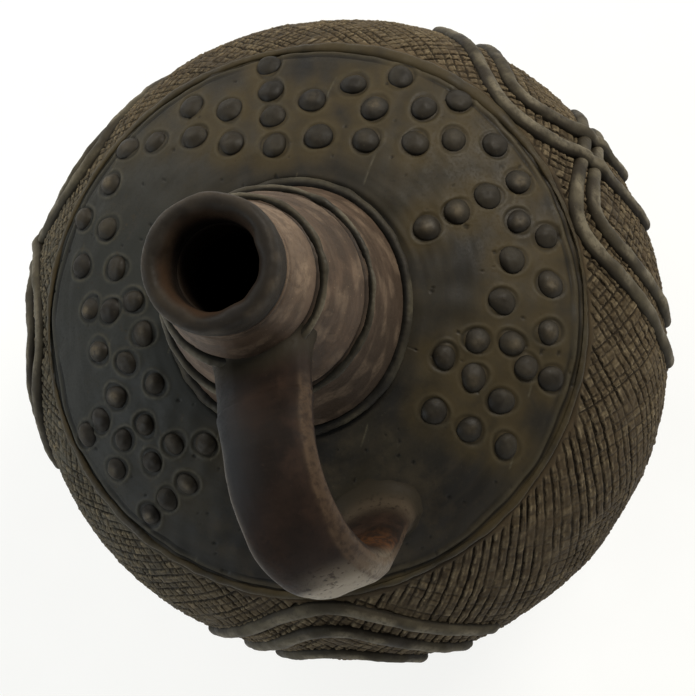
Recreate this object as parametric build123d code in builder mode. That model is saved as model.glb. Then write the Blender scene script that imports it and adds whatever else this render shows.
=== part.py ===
from build123d import *
import os
from math import cos, radians, sin, sqrt

# A hand-built black clay jug: a round belly, a shallow domed shoulder studded with pellets, a ribbed conical
# neck and a strap handle. Millimetres. +Z is up, the origin is the centre of the foot, the handle points to +X.

# ---- driving dimensions ----
EQUATOR_R = 123.5
EQUATOR_Z = 100.0
FOOT_R = 52.0
WALL = 6.5
RING_ANGLE = 44.45
BELLY_ARC = 96.9
SHOULDER_ARC = 133.0
SHOULDER_EDGE_SLOPE = 34.4
NECK_R = 42.5
NECK_HOLE_R = 35.0
BASE_DISC_R = 46.0
BASE_THICK = 7.0

NECK_FOOT_R = 41.0
NECK_MIDDLE_R = 33.2
NECK_MIDDLE_INSIDE_R = 25.4
NECK_UPPER_R = 24.4
NECK_TOP_R = 18.8
RIB_LOWER_Z = 190.6
RIB_MIDDLE_Z = 225.6
RIB_UPPER_Z = 255.5
LIP_Z = 276.0
MOUTH_Z = 290.5
BORE_R = 13.0
LIP_R = 19.6
LIP_EDGE = 1.6
RIB_THICK = 2.3
BAND_THICK = 2.1

PELLET_R = 4.4
PELLET_HIGH = 2.8
COIL_R = 3.0
COIL_LIFT = 0.9
COIL_OVER_R = 3.7
COIL_OVER_LIFT = 2.0
STRAP_WIDE = 27
STRAP_THICK = 12.0

# ---- places worked out from them ----
BELLY_C = EQUATOR_R - BELLY_ARC
RING_R = BELLY_C + BELLY_ARC * cos(radians(RING_ANGLE))
RING_Z = EQUATOR_Z + BELLY_ARC * sin(radians(RING_ANGLE))
RING_INNER = (
    BELLY_C + (BELLY_ARC - WALL) * cos(radians(RING_ANGLE)),
    EQUATOR_Z + (BELLY_ARC - WALL) * sin(radians(RING_ANGLE)),
)
BOWL_HALF_TURN = (EQUATOR_R - FOOT_R) / EQUATOR_Z
BOWL_ARC = EQUATOR_Z * (1 + BOWL_HALF_TURN**2) / (2 * BOWL_HALF_TURN)
BOWL_C = EQUATOR_R - BOWL_ARC


# the shoulder's arc leaves the ring at the slope that lands it on the neck's edge
DOME_R = RING_R - SHOULDER_ARC * sin(radians(SHOULDER_EDGE_SLOPE))
DOME_Z = RING_Z - SHOULDER_ARC * cos(radians(SHOULDER_EDGE_SLOPE))


def shoulder_z(r):
    """Height of the shoulder's outer surface at a radius."""
    return DOME_Z + sqrt(SHOULDER_ARC**2 - (r - DOME_R) ** 2)


def belly_r(z):
    """Radius of the body's outer surface at a height, on the belly's arc or on the bowl's below it."""
    if z >= EQUATOR_Z:
        return BELLY_C + sqrt(BELLY_ARC**2 - (z - EQUATOR_Z) ** 2)
    return BOWL_C + sqrt(BOWL_ARC**2 - (z - EQUATOR_Z) ** 2)


NECK_Z = shoulder_z(NECK_R)
NECK_OUTER = [
    (NECK_FOOT_R, NECK_Z), (NECK_MIDDLE_R, RIB_MIDDLE_Z), (NECK_UPPER_R, RIB_UPPER_Z), (NECK_TOP_R, LIP_Z),
]
NECK_INNER = [
    (NECK_HOLE_R, NECK_Z), (NECK_MIDDLE_INSIDE_R, RIB_MIDDLE_Z), (BORE_R, RIB_UPPER_Z), (BORE_R, LIP_Z),
]

# one point part way along each arc of the outline, outside and inside the wall
BOWL_MID = (belly_r(EQUATOR_Z * 0.4), EQUATOR_Z * 0.4)
BELLY_MID = (belly_r(EQUATOR_Z * 1.4), EQUATOR_Z * 1.4)
DOME_MID = ((RING_R + NECK_R) / 2, shoulder_z((RING_R + NECK_R) / 2))
BOWL_MID_ANGLE = radians(35)
BOWL_INSIDE_MID = (
    BOWL_C + (BOWL_ARC - WALL) * cos(BOWL_MID_ANGLE),
    EQUATOR_Z - (BOWL_ARC - WALL) * sin(BOWL_MID_ANGLE),
)
BELLY_MID_ANGLE = radians(RING_ANGLE / 2)
BELLY_INSIDE_MID = (
    BELLY_C + (BELLY_ARC - WALL) * cos(BELLY_MID_ANGLE),
    EQUATOR_Z + (BELLY_ARC - WALL) * sin(BELLY_MID_ANGLE),
)
DOME_INSIDE_MID_R = (RING_INNER[0] + NECK_HOLE_R) / 2
DOME_INSIDE_MID = (DOME_INSIDE_MID_R, shoulder_z(DOME_INSIDE_MID_R) - WALL)
FLOOR_R = BOWL_C + sqrt((BOWL_ARC - WALL) ** 2 - (EQUATOR_Z - BASE_THICK) ** 2)


def polar(azimuth, r, z):
    """A point from its azimuth in degrees, its radius and its height."""
    return Vector(r * cos(radians(azimuth)), r * sin(radians(azimuth)), z)


def save(piece, name):
    """Label a finished piece and write it out."""
    piece.label = name
    export_step(piece, f"parts/{name}.step")


os.makedirs("parts", exist_ok=True)

# ---- the body ----
with BuildPart() as body_core:
    # the jug's whole outer form, filled: it trims what is applied to the surface
    with BuildSketch(Plane.XZ):
        with BuildLine():
            Line((0, 0), (FOOT_R, 0))
            ThreePointArc((FOOT_R, 0), BOWL_MID, (EQUATOR_R, EQUATOR_Z))
            ThreePointArc((EQUATOR_R, EQUATOR_Z), BELLY_MID, (RING_R, RING_Z))
            ThreePointArc((RING_R, RING_Z), DOME_MID, (NECK_R, NECK_Z))
            Polyline((NECK_R, NECK_Z), *NECK_OUTER, (LIP_R, LIP_Z), (LIP_R, MOUTH_Z), (0, MOUTH_Z), (0, 0))
        make_face()
    revolve(axis=Axis.Z)

with BuildPart() as base_disc:
    Cylinder(BASE_DISC_R, BASE_THICK, align=(Align.CENTER, Align.CENTER, Align.MIN))

with BuildPart() as lower_bowl:
    with BuildSketch(Plane.XZ):
        with BuildLine():
            ThreePointArc((FOOT_R, 0), BOWL_MID, (EQUATOR_R, EQUATOR_Z))
            Line((EQUATOR_R, EQUATOR_Z), (EQUATOR_R - WALL, EQUATOR_Z))
            ThreePointArc((EQUATOR_R - WALL, EQUATOR_Z), BOWL_INSIDE_MID, (FLOOR_R, BASE_THICK))
            Polyline((FLOOR_R, BASE_THICK), (BASE_DISC_R, BASE_THICK), (BASE_DISC_R, 0), (FOOT_R, 0))
        make_face()
    revolve(axis=Axis.Z)

with BuildPart() as belly_wall:
    with BuildSketch(Plane.XZ):
        with BuildLine():
            ThreePointArc((EQUATOR_R, EQUATOR_Z), BELLY_MID, (RING_R, RING_Z))
            Line((RING_R, RING_Z), RING_INNER)
            ThreePointArc(RING_INNER, BELLY_INSIDE_MID, (EQUATOR_R - WALL, EQUATOR_Z))
            Line((EQUATOR_R - WALL, EQUATOR_Z), (EQUATOR_R, EQUATOR_Z))
        make_face()
    revolve(axis=Axis.Z)

with BuildPart() as shoulder_dome:
    with BuildSketch(Plane.XZ):
        with BuildLine():
            ThreePointArc((RING_R, RING_Z), DOME_MID, (NECK_R, NECK_Z))
            Polyline((NECK_R, NECK_Z), (NECK_HOLE_R, NECK_Z), (NECK_HOLE_R, NECK_Z - WALL))
            ThreePointArc((NECK_HOLE_R, NECK_Z - WALL), DOME_INSIDE_MID, RING_INNER)
            Line(RING_INNER, (RING_R, RING_Z))
        make_face()
    revolve(axis=Axis.Z)

save(base_disc.part, "base_disc")
save(lower_bowl.part, "lower_bowl")
save(belly_wall.part, "belly_wall")
save(shoulder_dome.part, "shoulder_dome")

# ---- the neck: three turned lengths and the lip ----
for step, name in enumerate(["neck_lower", "neck_middle", "neck_top"]):
    with BuildPart() as neck_piece:
        with BuildSketch(Plane.XZ):
            with BuildLine():
                Polyline(
                    NECK_OUTER[step], NECK_OUTER[step + 1], NECK_INNER[step + 1], NECK_INNER[step], close=True
                )
            make_face()
        revolve(axis=Axis.Z)
    save(neck_piece.part, name)

with BuildPart() as lip_ring:
    with BuildSketch(Plane.XY.offset(LIP_Z)):
        Circle(LIP_R)
        Circle(BORE_R, mode=Mode.SUBTRACT)
    extrude(amount=MOUTH_Z - LIP_Z)
    fillet(lip_ring.faces().sort_by(Axis.Z)[-1].edges(), LIP_EDGE)
save(lip_ring.part, "lip_ring")

# ---- rings laid on the body: the shoulder's raised band and the neck's three ribs ----
RINGS = {
    "shoulder_band": (RING_R, RING_Z, BAND_THICK),
    "neck_rib_lower": (NECK_FOOT_R, RIB_LOWER_Z, RIB_THICK),
    "neck_rib_middle": (NECK_MIDDLE_R, RIB_MIDDLE_Z, RIB_THICK),
    "neck_rib_upper": (NECK_UPPER_R, RIB_UPPER_Z, RIB_THICK),
}
rings = []
for name, (ring_r, ring_z, thick) in RINGS.items():
    with BuildPart() as ring:
        with BuildSketch(Plane.XZ):
            with Locations((ring_r, ring_z)):
                Circle(thick)
        revolve(axis=Axis.Z)
        add(body_core.part, mode=Mode.SUBTRACT)
    rings.append(ring.part)
    save(ring.part, name)

# ---- the strap handle: centre line, then width and thickness at each station ----
STRAP_STATIONS = [
    ((22, -3, 247), 38, 17),
    ((33, -5, 257), 33, 14),
    ((46, -6.5, 267), STRAP_WIDE, STRAP_THICK),
    ((62, -8.5, 270), STRAP_WIDE, STRAP_THICK),
    ((77, -9, 263), STRAP_WIDE, STRAP_THICK),
    ((86.5, -7.5, 248), STRAP_WIDE, STRAP_THICK),
    ((88.5, -6, 228), 25, STRAP_THICK),
    ((84.5, -4, 208), 24, STRAP_THICK),
    ((78, -1.5, 188), 24, 14),
    ((73, 0, 172), 27, 18),
]
strap_line = Spline(*[place for place, wide, thick in STRAP_STATIONS])


def strap_plane(place):
    """The plane across the strap at a place on its centre line, with its x along the strap's width."""
    along = strap_line.tangent_at(strap_line.param_at_point(place))
    across = Vector(0, 1, 0).cross(along).cross(along)
    return Plane(origin=place, x_dir=across, z_dir=along)


with BuildPart() as handle_strap:
    for place, wide, thick in STRAP_STATIONS:
        with BuildSketch(strap_plane(place)):
            Ellipse(wide / 2, thick / 2)
    loft()
    add(body_core.part, mode=Mode.SUBTRACT)
    add(rings, mode=Mode.SUBTRACT)
save(handle_strap.part, "handle_strap")

# the clay smeared round the strap's two ends, which lutes it to the neck and to the shoulder
PADS = {
    "handle_neck_pad": [(STRAP_STATIONS[1][0], 37, 18), (STRAP_STATIONS[0][0], 48, 30)],
    "handle_foot_pad": [(STRAP_STATIONS[8][0], 33, 18), (STRAP_STATIONS[9][0], 50, 40)],
}
for name, ends in PADS.items():
    with BuildPart() as pad:
        for place, wide, thick in ends:
            with BuildSketch(strap_plane(place)):
                Ellipse(wide / 2, thick / 2)
        loft()
        add(body_core.part, mode=Mode.SUBTRACT)
        add(rings, mode=Mode.SUBTRACT)
        add(handle_strap.part, mode=Mode.SUBTRACT)
    save(pad.part, name)

# ---- pellets: rows on the shoulder, from one azimuth and radius to another, with the count ----
PELLET_ROWS = {
    "pellets_by_handle_left": [
        (32, 58, 35, 83, 3), (50, 53, 44, 75, 3), (58, 62, 59, 73, 2), (54, 79, 53, 87.5, 2), (70, 69, 63, 84, 2),
    ],
    "pellets_left": [
        (81, 74, 74, 85, 2), (90, 80, 85, 87, 2), (99, 52, 99, 86, 4), (109, 87, 123, 69, 3),
    ],
    "pellets_far": [
        (136, 62, 166, 57, 3), (122, 90, 122, 90, 1), (127, 81, 138, 74, 2), (136, 88, 155, 73, 3),
        (166, 68, 167, 90, 3), (180, 63, 199, 82, 3), (205, 90, 205, 90, 1), (178, 76, 187, 85, 2),
    ],
    "pellets_right": [
        (214, 85, 244, 57, 4), (224, 89, 246, 75, 3), (247, 66, 247, 66, 1), (256, 53, 272, 70, 3),
        (258, 72, 258, 72, 1), (275, 79.5, 276, 87.5, 2),
    ],
    "pellets_by_handle_right": [
        (283, 75, 287, 84, 2), (275, 54, 275, 54, 1), (284, 65, 302, 78, 3), (295, 61, 305, 69, 2),
        (304, 54, 304, 54, 1), (300, 87, 300, 87, 1),
    ],
}
PELLET_SPHERE = (PELLET_R**2 + PELLET_HIGH**2) / (2 * PELLET_HIGH)


def pellet_centre(azimuth, r):
    """Centre of a pellet's sphere, sunk below the shoulder so that only its cap stands out."""
    sunk = (PELLET_SPHERE - PELLET_HIGH) / SHOULDER_ARC
    return polar(azimuth, r - sunk * (r - DOME_R), shoulder_z(r) - sunk * (shoulder_z(r) - DOME_Z))


for name, rows in PELLET_ROWS.items():
    centres = []
    for azimuth_in, r_in, azimuth_out, r_out, count in rows:
        for step in range(count):
            part_way = step / max(count - 1, 1)
            azimuth = azimuth_in + part_way * (azimuth_out - azimuth_in)
            centres.append(pellet_centre(azimuth, r_in + part_way * (r_out - r_in)))
    with BuildPart() as pellets:
        with Locations(*centres):
            Sphere(PELLET_SPHERE)
        add(body_core.part, mode=Mode.SUBTRACT)
    save(pellets.part, name)

# ---- rolled coils laid on the belly as arches: azimuth and height of the top, steepness, half span ----
# An arch drops by its steepness times the square of the degrees from its top. The coils of one pair of arches
# pass over those of the next, and are thicker and stand higher for it.
ARCHES = {
    "arch_left_under_outer": (86.8, 64.5, 0.098, 24.5),
    "arch_left_under_inner": (88, 56, 0.148, 18.5),
    "arch_far_under_outer": (213.5, 57, 0.080, 23),
    "arch_far_under_inner": (214, 47, 0.105, 18),
    "arch_left_over_outer": (113.5, 64.5, 0.075, 27),
    "arch_left_over_inner": (114.5, 55, 0.150, 18),
    "arch_right_over_outer": (250, 60, 0.078, 23),
    "arch_right_over_inner": (250.5, 49, 0.110, 18),
    "arch_handle_outer": (341.2, 63.5, 0.068, 26),
    "arch_handle_middle": (341.4, 52.5, 0.107, 20),
    "arch_handle_inner": (340.5, 35, 0.150, 13),
}
ARCH_STEPS = 8

coils_below = []
for name, (azimuth, top, steepness, half_span) in ARCHES.items():
    passes_over = "_over_" in name
    lift = COIL_OVER_LIFT if passes_over else COIL_LIFT
    places = []
    for step in range(ARCH_STEPS + 1):
        offset = half_span * (2 * step / ARCH_STEPS - 1)
        height = EQUATOR_Z + top - steepness * offset**2
        places.append(polar(azimuth + offset, belly_r(height) + lift, height))
    with BuildPart() as coil:
        with BuildLine() as coil_line:
            Spline(*places)
        with BuildSketch(Plane(origin=coil_line.line @ 0, z_dir=coil_line.line % 0)):
            Circle(COIL_OVER_R if passes_over else COIL_R)
        sweep()
        add(body_core.part, mode=Mode.SUBTRACT)
        add(rings, mode=Mode.SUBTRACT)
        if passes_over:
            add(coils_below, mode=Mode.SUBTRACT)
    if not passes_over:
        coils_below.append(coil.part)
    save(coil.part, name)
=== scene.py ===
import bpy
import numpy as np
from mathutils import Matrix, Vector


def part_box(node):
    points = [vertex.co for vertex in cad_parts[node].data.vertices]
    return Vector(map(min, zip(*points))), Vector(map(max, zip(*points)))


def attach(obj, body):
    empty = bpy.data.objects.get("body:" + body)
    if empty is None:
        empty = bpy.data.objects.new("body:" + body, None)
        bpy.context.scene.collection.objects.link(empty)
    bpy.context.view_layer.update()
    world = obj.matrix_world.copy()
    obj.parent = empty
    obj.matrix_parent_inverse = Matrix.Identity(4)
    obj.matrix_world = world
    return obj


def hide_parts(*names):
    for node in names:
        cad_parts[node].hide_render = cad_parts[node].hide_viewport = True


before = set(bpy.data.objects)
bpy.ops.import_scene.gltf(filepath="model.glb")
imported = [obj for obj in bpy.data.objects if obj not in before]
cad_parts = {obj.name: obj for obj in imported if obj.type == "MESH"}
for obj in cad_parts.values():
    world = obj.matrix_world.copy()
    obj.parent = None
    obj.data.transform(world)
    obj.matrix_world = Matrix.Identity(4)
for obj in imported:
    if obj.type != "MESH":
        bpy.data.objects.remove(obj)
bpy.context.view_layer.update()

# A hand-built black clay jug. Shapes are worked out in millimetres, in the part's own frame, and
# written in metres.
MM = 0.001
TURN = 2 * np.pi


def corners(node):
    """Lowest and highest corners of a CAD node, in millimetres."""
    low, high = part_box(node)
    return np.array(low) / MM, np.array(high) / MM


# ---- the body's outline: places from the frame, and the sizes that its boxes don't give ----
WALL = 6.5
NECK_R = 42.5
BORE_R = 13.0
RIB_SUNK = 1.3
FOOT_FLARE = 6.0
EQUATOR_R = corners("belly_wall")[1][0]
EQUATOR_Z = corners("belly_wall")[0][2]
RING_R = corners("shoulder_dome")[1][0]
RING_Z = corners("belly_wall")[1][2]
NECK_Z = corners("neck_lower")[0][2]
RIB_LOWER_Z = corners("neck_rib_lower")[0][2] + RIB_SUNK
RIB_MIDDLE_Z = corners("neck_middle")[0][2]
RIB_UPPER_Z = corners("neck_top")[0][2]
LIP_Z = corners("lip_ring")[0][2]
FLOOR_THICK = corners("base_disc")[1][2]
BASE_R = corners("base_disc")[1][0]
FOOT_R = BASE_R + FOOT_FLARE

# the belly is an arc tangent to the vertical at the equator, and the bowl below it another
BELLY_ANGLE = 2 * np.arctan((EQUATOR_R - RING_R) / (RING_Z - EQUATOR_Z))
BELLY_ARC = (RING_Z - EQUATOR_Z) / np.sin(BELLY_ANGLE)
BOWL_ANGLE = 2 * np.arctan((EQUATOR_R - FOOT_R) / EQUATOR_Z)
BOWL_ARC = EQUATOR_Z / np.sin(BOWL_ANGLE)
# the shoulder is a dome's arc, whose centre lies off the axis
DOME_ARC = 133.0
DOME_SLOPE = np.radians(34.4)
DOME_R = RING_R - DOME_ARC * np.sin(DOME_SLOPE)
DOME_Z = RING_Z - DOME_ARC * np.cos(DOME_SLOPE)
# the neck's radii where its three lengths start and end, and how far the middle of each length sinks in
NECK_HEIGHTS = [NECK_Z, RIB_MIDDLE_Z, RIB_UPPER_Z, LIP_Z]
NECK_OUTSIDE = [41.0, 33.2, 24.4, 18.8]
NECK_INSIDE = [35.0, 25.4, BORE_R, BORE_R]
NECK_HOLLOW = [0.9, 0.7, 0.5]
# the raised band's half width and half height
BAND_HALF = 1.4
BAND_TALL = 0.85
# waves that put the wall out of round: height, times round, and turn
OUT_OF_ROUND = [(0.6, 1, 0.92), (1.26, 2, -0.66), (0.83, 3, -0.63)]

# ---- how finely it is meshed: points round each kind of piece, and steps from row to row ----
BELLY_COLUMNS = 1400
SHOULDER_COLUMNS = 1150
RING_COLUMNS = 900
NECK_COLUMNS = 620
LIP_COLUMNS = 480
STRAP_COLUMNS = 128
PELLET_COLUMNS = 28
COIL_COLUMNS = 24
RIB_POINTS = 24
BAND_POINTS = 28
ARCH_POINTS = 1200
NECK_ROWS = 60
NECK_INSIDE_ROWS = 6
ROW_STEP = 0.52
LIP_STEP = 0.5
COIL_STEP = 0.75
STRAP_STEP = 0.8


# ---- fields over points in millimetres ----
def lumps(points, size, seed, waves=9):
    """A smooth uneven field over points, about -1 to 1, with lumps of a size."""
    rng = np.random.default_rng(seed)
    total = np.zeros(points.shape[:-1])
    for _ in range(waves):
        way = rng.normal(size=3)
        way *= TURN / (size * rng.uniform(0.7, 1.5) * np.linalg.norm(way))
        total += np.sin(points @ way + rng.uniform(0, TURN))
    return total / np.sqrt(waves * 0.9)


def bell(distance, width):
    """1 on a line, falling away to nothing past about two widths."""
    return np.exp(-((distance / width) ** 2))


def ease(x):
    """0 below 0, 1 above 1, smooth between."""
    x = np.clip(x, 0, 1)
    return x * x * (3 - 2 * x)


def unit(vectors):
    """The same directions at length 1."""
    return vectors / np.linalg.norm(vectors, axis=-1, keepdims=True)


def distance_along(points):
    """How far along the line through them each point lies."""
    return np.concatenate([[0], np.cumsum(np.linalg.norm(np.diff(points, axis=0), axis=1))])


def turn_gap(azimuth, degrees):
    """Signed angle in radians from an azimuth in degrees."""
    return (azimuth - np.radians(degrees) + np.pi) % TURN - np.pi


def full_turn(count):
    """Angles in radians of a number of points spaced evenly round a circle."""
    return TURN * np.arange(count) / count


def polar(points):
    """Azimuths in radians, radii and heights of points."""
    x, y, z = points[..., 0], points[..., 1], points[..., 2]
    return np.arctan2(y, x), np.hypot(x, y), z


def unevenness(points):
    """How far the hand-built wall swells or sinks from its true turned form, which is also out of round."""
    azimuth, _, z = polar(points)
    oval = sum(high * np.cos(times * azimuth + turn) for high, times, turn in OUT_OF_ROUND)
    belly_only = ease((z - 20) / 50) * ease((RING_Z + 4 - z) / 50)
    lumpy = 0.75 * lumps(points, 105, 11) + 0.30 * lumps(points, 40, 12) + 0.08 * lumps(points, 13, 13)
    return lumpy + oval * belly_only


def around(azimuth, r, z):
    """Points from azimuths in radians, radii and heights."""
    return np.stack([r * np.cos(azimuth), r * np.sin(azimuth), z + 0 * azimuth], axis=-1)


def swell(azimuth, r, z, out_r, out_z, height=0.0):
    """Points on the uneven wall, moved out by a height along the outline's own normal (out_r, out_z)."""
    place = around(azimuth, r, z)
    lift = height + unevenness(place)
    return place + around(azimuth, out_r, out_z) * lift[..., None]


def wall_arc(above):
    """Radius of the wall's arc, by how far above the equator it is looked for, or below it when negative."""
    return np.where(above >= 0, BELLY_ARC, BOWL_ARC)


def belly(azimuth, angle):
    """A point of the belly or bowl at an angle above or below the equator."""
    arc = wall_arc(angle)
    r = EQUATOR_R - arc * (1 - np.cos(angle))
    return swell(azimuth, r, EQUATOR_Z + arc * np.sin(angle), np.cos(angle), np.sin(angle))


def belly_angle(z):
    """The belly's or bowl's angle at a height."""
    above = z - EQUATOR_Z
    return np.arcsin(np.clip(above / wall_arc(above), -1, 1))


def dome_normal(r):
    """The shoulder's outward direction at a radius, (out, up)."""
    lean = (r - DOME_R) / DOME_ARC
    return lean, np.sqrt(np.clip(1 - lean**2, 0.1, 1))


def shoulder(azimuth, r, height=0.0):
    """A point of the shoulder at a radius."""
    out, up = dome_normal(r)
    return swell(azimuth, r, DOME_Z + DOME_ARC * up, out, up, height)


def neck_foot(azimuth):
    """How far the neck's foot stands in or out of a true circle."""
    return 1.0 * bell(turn_gap(azimuth, 165), 0.8) - 2.6 * bell(turn_gap(azimuth, 62), 0.7)


def neck_lean(azimuth, z):
    """How far the neck's surface stands in or out of its cone, most at its foot."""
    return neck_foot(azimuth) * ease((RIB_MIDDLE_Z - z) / (RIB_MIDDLE_Z - NECK_Z))


# ---- meshes ----
def make_mesh(name, points, faces, marks=None):
    """An object from points in millimetres, faces of four corners, and named marks on its points."""
    mesh = bpy.data.meshes.new(name + "_clay")
    points = np.asarray(points, float).reshape(-1, 3) * MM
    faces = np.asarray(faces, np.int32)
    mesh.vertices.add(len(points))
    mesh.vertices.foreach_set("co", points.astype(np.float32).ravel())
    mesh.loops.add(faces.size)
    mesh.loops.foreach_set("vertex_index", faces.ravel())
    mesh.polygons.add(len(faces))
    mesh.polygons.foreach_set("loop_start", np.arange(0, faces.size, 4, dtype=np.int32))
    mesh.polygons.foreach_set("use_smooth", np.ones(len(faces), bool))
    for mark, values in (marks or {}).items():
        layer = mesh.attributes.new(mark, "FLOAT", "POINT")
        layer.data.foreach_set("value", np.asarray(values, np.float32).ravel())
    mesh.update(calc_edges=True)
    mesh.validate()
    piece = bpy.data.objects.new(mesh.name, mesh)
    bpy.context.scene.collection.objects.link(piece)
    return piece


def grid_faces(rows, columns, wrap_rows=False):
    """Faces of a grid of points, joined round its columns, and round its rows too where they wrap."""
    row = np.arange(rows if wrap_rows else rows - 1)
    row, column = np.meshgrid(row, np.arange(columns), indexing="ij")
    next_row, next_column = (row + 1) % rows, (column + 1) % columns
    corner = [row * columns + column, row * columns + next_column]
    corner += [next_row * columns + next_column, next_row * columns + column]
    return np.stack([c.ravel() for c in corner], axis=1)


def wrapped(name, points, marks):
    """A closed piece of rows of points, the last row joined to the first."""
    return make_mesh(name, points, grid_faces(*points.shape[:2], wrap_rows=True), marks)


def shell(name, outer, inside, marks):
    """A closed turned wall: rows of outer points with their marks, and the (r, z) outline of its inside."""
    inner = np.stack([around(full_turn(outer.shape[1]), r, z) for r, z in inside])
    unmarked = np.zeros(inner.shape[:2])
    marks = {mark: np.concatenate([values, unmarked]) for mark, values in marks.items()}
    marks["inside"] = np.concatenate([np.zeros(outer.shape[:2]), unmarked + 1])
    return wrapped(name, np.concatenate([outer, inner]), marks)


def turned(name, outline, columns, relief, lean=None):
    """A closed turned piece. The outline is a closed loop of (r, z) rows, relief(azimuth, place, row) gives
    each point's height above it and its marks, and lean(azimuth, z) how far out of true it stands."""
    outline = np.asarray(outline, float)
    along = np.roll(outline, -1, 0) - np.roll(outline, 1, 0)
    along /= np.linalg.norm(along, axis=1)[:, None] + 1e-9
    azimuth = np.broadcast_to(full_turn(columns), (len(outline), columns))
    r, z = outline[:, :1] + 0 * azimuth, outline[:, 1:] + 0 * azimuth
    if lean:
        r = r + lean(azimuth, z)
    place = around(azimuth, r, z)
    height, marks = relief(azimuth, place, np.arange(len(outline))[:, None])
    out = around(azimuth, along[:, 1:] + 0 * r, -along[:, :1] + 0 * r)
    return wrapped(name, place + out * height[..., None], marks)


def tube_parts(rings, first):
    """Points and faces of a closed tube through rings of an even number of points, its ends filled with
    strips. First is the number of its first point."""
    count, columns = rings.shape[:2]
    faces = [grid_faces(count, columns)]
    step = np.arange(columns // 2 - 1)
    for ring, flip in ((0, True), (count - 1, False)):
        strip = np.stack([step, step + 1, columns - 2 - step, columns - 1 - step], axis=1) + ring * columns
        faces.append(strip[:, ::-1] if flip else strip)
    return rings.reshape(-1, 3), np.concatenate(faces) + first


def join_tubes(name, tubes, marks):
    """One object of several closed tubes."""
    points, faces, total = [], [], 0
    for rings in tubes:
        tube_points, tube_faces = tube_parts(rings, total)
        points.append(tube_points)
        faces.append(tube_faces)
        total += len(tube_points)
    return make_mesh(name, np.concatenate(points), np.concatenate(faces), marks)


def arc_outline(centre_r, centre_z, arc, start, end, count):
    """Points (r, z) along an arc of the outline between two angles above the horizontal."""
    return [(centre_r + arc * np.cos(a), centre_z + arc * np.sin(a)) for a in np.linspace(start, end, count)]


def smooth_through(values, where, at):
    """A natural cubic spline through rows of values known at rising places, read at other places."""
    values = np.asarray(values, float)
    gap = np.diff(where)
    count = len(where)
    system, right = np.eye(count), np.zeros((count, values.shape[1]))
    for i in range(1, count - 1):
        system[i, i - 1 : i + 2] = gap[i - 1], 2 * (gap[i - 1] + gap[i]), gap[i]
        right[i] = 6 * ((values[i + 1] - values[i]) / gap[i] - (values[i] - values[i - 1]) / gap[i - 1])
    bend = np.linalg.solve(system, right)
    i = np.clip(np.searchsorted(where, at) - 1, 0, count - 2)
    h, before, after = gap[i][:, None], (at - where[i])[:, None], (where[i + 1] - at)[:, None]
    straight = (values[i] / h - bend[i] * h / 6) * after + (values[i + 1] / h - bend[i + 1] * h / 6) * before
    return straight + (bend[i] * after**3 + bend[i + 1] * before**3) / (6 * h)


# ---- where the applied clay sits ----
# rows of pellets: azimuth and radius of the first, azimuth and radius of the last, and how many
PELLET_ROWS = {
    "pellets_by_handle_left": [
        (32, 58, 35, 83, 3), (50, 53, 44, 75, 3), (58, 62, 59, 73, 2), (54, 79, 53, 87.5, 2),
        (70, 69, 63, 84, 2),
    ],
    "pellets_left": [
        (81, 74, 74, 85, 2), (90, 80, 85, 87, 2), (99, 52, 99, 86, 4), (109, 87, 123, 69, 3),
    ],
    "pellets_far": [
        (136, 62, 166, 57, 3), (122, 90, 122, 90, 1), (127, 81, 138, 74, 2), (136, 88, 155, 73, 3),
        (166, 68, 167, 90, 3), (180, 63, 199, 82, 3), (205, 90, 205, 90, 1), (178, 76, 187, 85, 2),
    ],
    "pellets_right": [
        (214, 85, 244, 57, 4), (224, 89, 246, 75, 3), (247, 66, 247, 66, 1), (256, 53, 272, 70, 3),
        (258, 72, 258, 72, 1), (275, 79.5, 276, 87.5, 2),
    ],
    "pellets_by_handle_right": [
        (283, 75, 287, 84, 2), (275, 54, 275, 54, 1), (284, 65, 302, 78, 3), (295, 61, 305, 69, 2),
        (304, 54, 304, 54, 1), (300, 87, 300, 87, 1),
    ],
}
# half width of each group's pellets, how strongly the slip stands up in a rim round them, and its olive stain
PELLET_SIZES = {
    "pellets_by_handle_left": (4.25, 0.5, 0.8),
    "pellets_left": (4.35, 0.4, 0.9),
    "pellets_far": (4.5, 0.5, 0.9),
    "pellets_right": (4.1, 0.9, 0.35),
    "pellets_by_handle_right": (3.8, 1.0, 0.4),
}
# arches of rolled coil: azimuth of the top, its height above the equator, steepness, half span in degrees
ARCHES = {
    "arch_left_under_outer": (86.8, 64.5, 0.098, 24.5),
    "arch_left_under_inner": (88, 56, 0.148, 18.5),
    "arch_far_under_outer": (213.5, 57, 0.080, 23),
    "arch_far_under_inner": (214, 47, 0.105, 18),
    "arch_left_over_outer": (113.5, 64.5, 0.075, 27),
    "arch_left_over_inner": (114.5, 55, 0.150, 18),
    "arch_right_over_outer": (250, 60, 0.078, 23),
    "arch_right_over_inner": (250.5, 49, 0.110, 18),
    "arch_handle_outer": (341.2, 63.5, 0.068, 26),
    "arch_handle_middle": (341.4, 52.5, 0.107, 20),
    "arch_handle_inner": (340.5, 35, 0.150, 13),
}


def pellets_in(rows):
    """Azimuth in radians and radius of each pellet in the rows."""
    found = []
    for azimuth_in, r_in, azimuth_out, r_out, count in rows:
        for part_way in np.linspace(0, 1, count):
            azimuth = azimuth_in + part_way * (azimuth_out - azimuth_in)
            found.append((np.radians(azimuth), r_in + part_way * (r_out - r_in)))
    return found


PELLETS = {node: pellets_in(rows) for node, rows in PELLET_ROWS.items()}
EVERY_PELLET = [(*pellet, *PELLET_SIZES[node]) for node, group in PELLETS.items() for pellet in group]

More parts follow.
